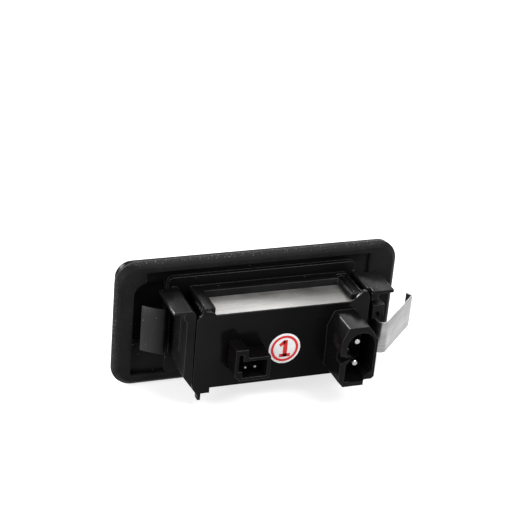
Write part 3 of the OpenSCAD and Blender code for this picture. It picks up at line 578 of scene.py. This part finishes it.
def add_phosphor():
    """A low yellow dome in the pool of each diode."""
    mesh = bmesh.new()
    for name in DIODES:
        low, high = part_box(name)
        middle = (low + high) / 2
        radius = POOL_SHARE * (high.z - low.z)
        place = (Matrix.Translation((middle.x, high.y - POOL_DEPTH, middle.z))
                 @ Matrix.Diagonal((1, DOME_RISE, 1, 1)) @ Matrix.Rotation(math.radians(90), 4, "X"))
        dome = bmesh.ops.create_uvsphere(mesh, u_segments=DOME_SIDES, v_segments=DOME_RINGS,
                                         radius=radius, matrix=place)["verts"]
        edges = list({edge for vert in dome for edge in vert.link_edges})
        faces = list({face for vert in dome for face in vert.link_faces})
        bmesh.ops.bisect_plane(mesh, geom=dome + edges + faces, plane_co=(0, high.y - POOL_DEPTH, 0),
                               plane_no=(0, -1, 0), clear_outer=True)
    rims = [edge for edge in mesh.edges if edge.is_boundary]
    bmesh.ops.holes_fill(mesh, edges=rims, sides=0)
    bmesh.ops.recalc_face_normals(mesh, faces=mesh.faces)
    for face in mesh.faces:
        face.smooth = len(face.verts) < 5
    pool = make_speckled("diode_phosphor", (0.72, 0.5, 0.06, 1), (0.8, 0.6, 0.1, 1), 0.4, 2600.0)
    finish_piece("phosphor_pools", mesh, pool)


def add_solder():
    """Solder cones round the two posts, on the lens side of the light board."""
    mesh = bmesh.new()
    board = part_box("led_board")[1].y
    for name in ("board_post_lower", "board_post_upper"):
        low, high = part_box(name)
        middle = (low + high) / 2
        height = high.y - board
        place = (Matrix.Translation((middle.x, board + height / 2, middle.z))
                 @ Matrix.Rotation(math.radians(-90), 4, "X"))
        bmesh.ops.create_cone(mesh, cap_ends=True, segments=SOLDER_SIDES, radius1=SOLDER_FOOT,
                              radius2=SOLDER_TIP, depth=height, matrix=place)
    sharp = [edge for edge in mesh.edges if edge.calc_face_angle() > SOLDER_CORNER]
    bmesh.ops.bevel(mesh, geom=sharp, offset=SOLDER_EDGE, affect="EDGES", segments=3, profile=0.5,
                    material=-1)
    for face in mesh.faces:
        face.smooth = True
    tin = make_plating("solder_tin", (0.72, 0.72, 0.7, 1), 0.3)
    finish_piece("post_solder", mesh, tin)


def finish_piece(name, mesh, material):
    """Makes a piece from a bmesh and hangs it on the body."""
    data = bpy.data.meshes.new(name)
    mesh.to_mesh(data)
    mesh.free()
    data.materials.append(material)
    piece = bpy.data.objects.new(name, data)
    bpy.context.scene.collection.objects.link(piece)
    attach(piece, "root")
    return piece


add_camera()
add_stage()

rubber = make_rubber()
moulding = make_moulding()
polish = make_polish()
header_plastic = make_header_plastic()
sink_metal = make_sheet_metal("sink_aluminium", (0.4, 0.393, 0.382, 1), (60.0, 900.0, 900.0),
                              0.36, 0.5, depth=0.82, dusty=0.06)
leaf_metal = make_sheet_metal("leaf_steel", (0.33, 0.327, 0.327, 1), (90.0, 90.0, 1500.0),
                              0.24, 0.42, depth=0.7)
plating = make_plating("contact_plating", (0.45, 0.44, 0.425, 1), 0.2)
link_plating = make_plating("link_plating", (0.26, 0.255, 0.25, 1), 0.24)
wire = make_plating("post_wire", (0.83, 0.68, 0.36, 1), 0.25)
clear = make_clear()
light_board = make_board("light_board_mask", (0.78, 0.79, 0.78, 1), (0.73, 0.74, 0.72, 1))
green_board = make_board("driver_board_mask", (0.01, 0.09, 0.03, 1), (0.03, 0.16, 0.06, 1))
package = make_speckled("diode_package", (0.76, 0.76, 0.73, 1), (0.82, 0.82, 0.79, 1), 0.35)
ceramic = make_speckled("resistor_body", (0.012, 0.012, 0.013, 1), (0.02, 0.02, 0.022, 1), 0.45)
film = make_speckled("sticker_film", grey(0.78), grey(0.84), 0.32, 900.0)

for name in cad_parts:
    if name in DIODES:
        dress(name, package)
    elif name.startswith("load_resistor") or name == "polarity_diode":
        dress(name, ceramic)
    elif name.startswith("board_post"):
        dress(name, wire)
    elif name.startswith("main_pin"):
        dress(name, plating)
    elif name.startswith("link_pin"):
        dress(name, link_plating)
dress("rubber_seal", rubber)
dress("housing", moulding)
dress("rear_cover", polish)
dress("link_header", header_plastic)
dress("heat_sink_plate", sink_metal)
dress("retaining_spring", leaf_metal)
dress("lens", clear)
dress("led_board", light_board)
dress("driver_board", green_board)
dress("side_sticker", film)

soften("housing", MOULD_EDGE, make_edge("housing_edge", 0.22, 0.2))
soften("rear_cover", MOULD_EDGE, make_edge("cover_edge", 0.2, 0.18))
soften("link_header", MOULD_EDGE, make_edge("header_edge", 0.24, 0.24))
soften("lens", MOULD_EDGE)
soften("rubber_seal", RUBBER_EDGE)
for name in ("heat_sink_plate", "retaining_spring", "main_pin_upper", "main_pin_lower"):
    soften(name, FINE_EDGE)
for name in ("link_pin_left", "link_pin_right"):
    soften(name, PIN_TIP)

add_sticker_print()
add_phosphor()
add_solder()

bpy.context.scene.view_settings.view_transform = "Standard"
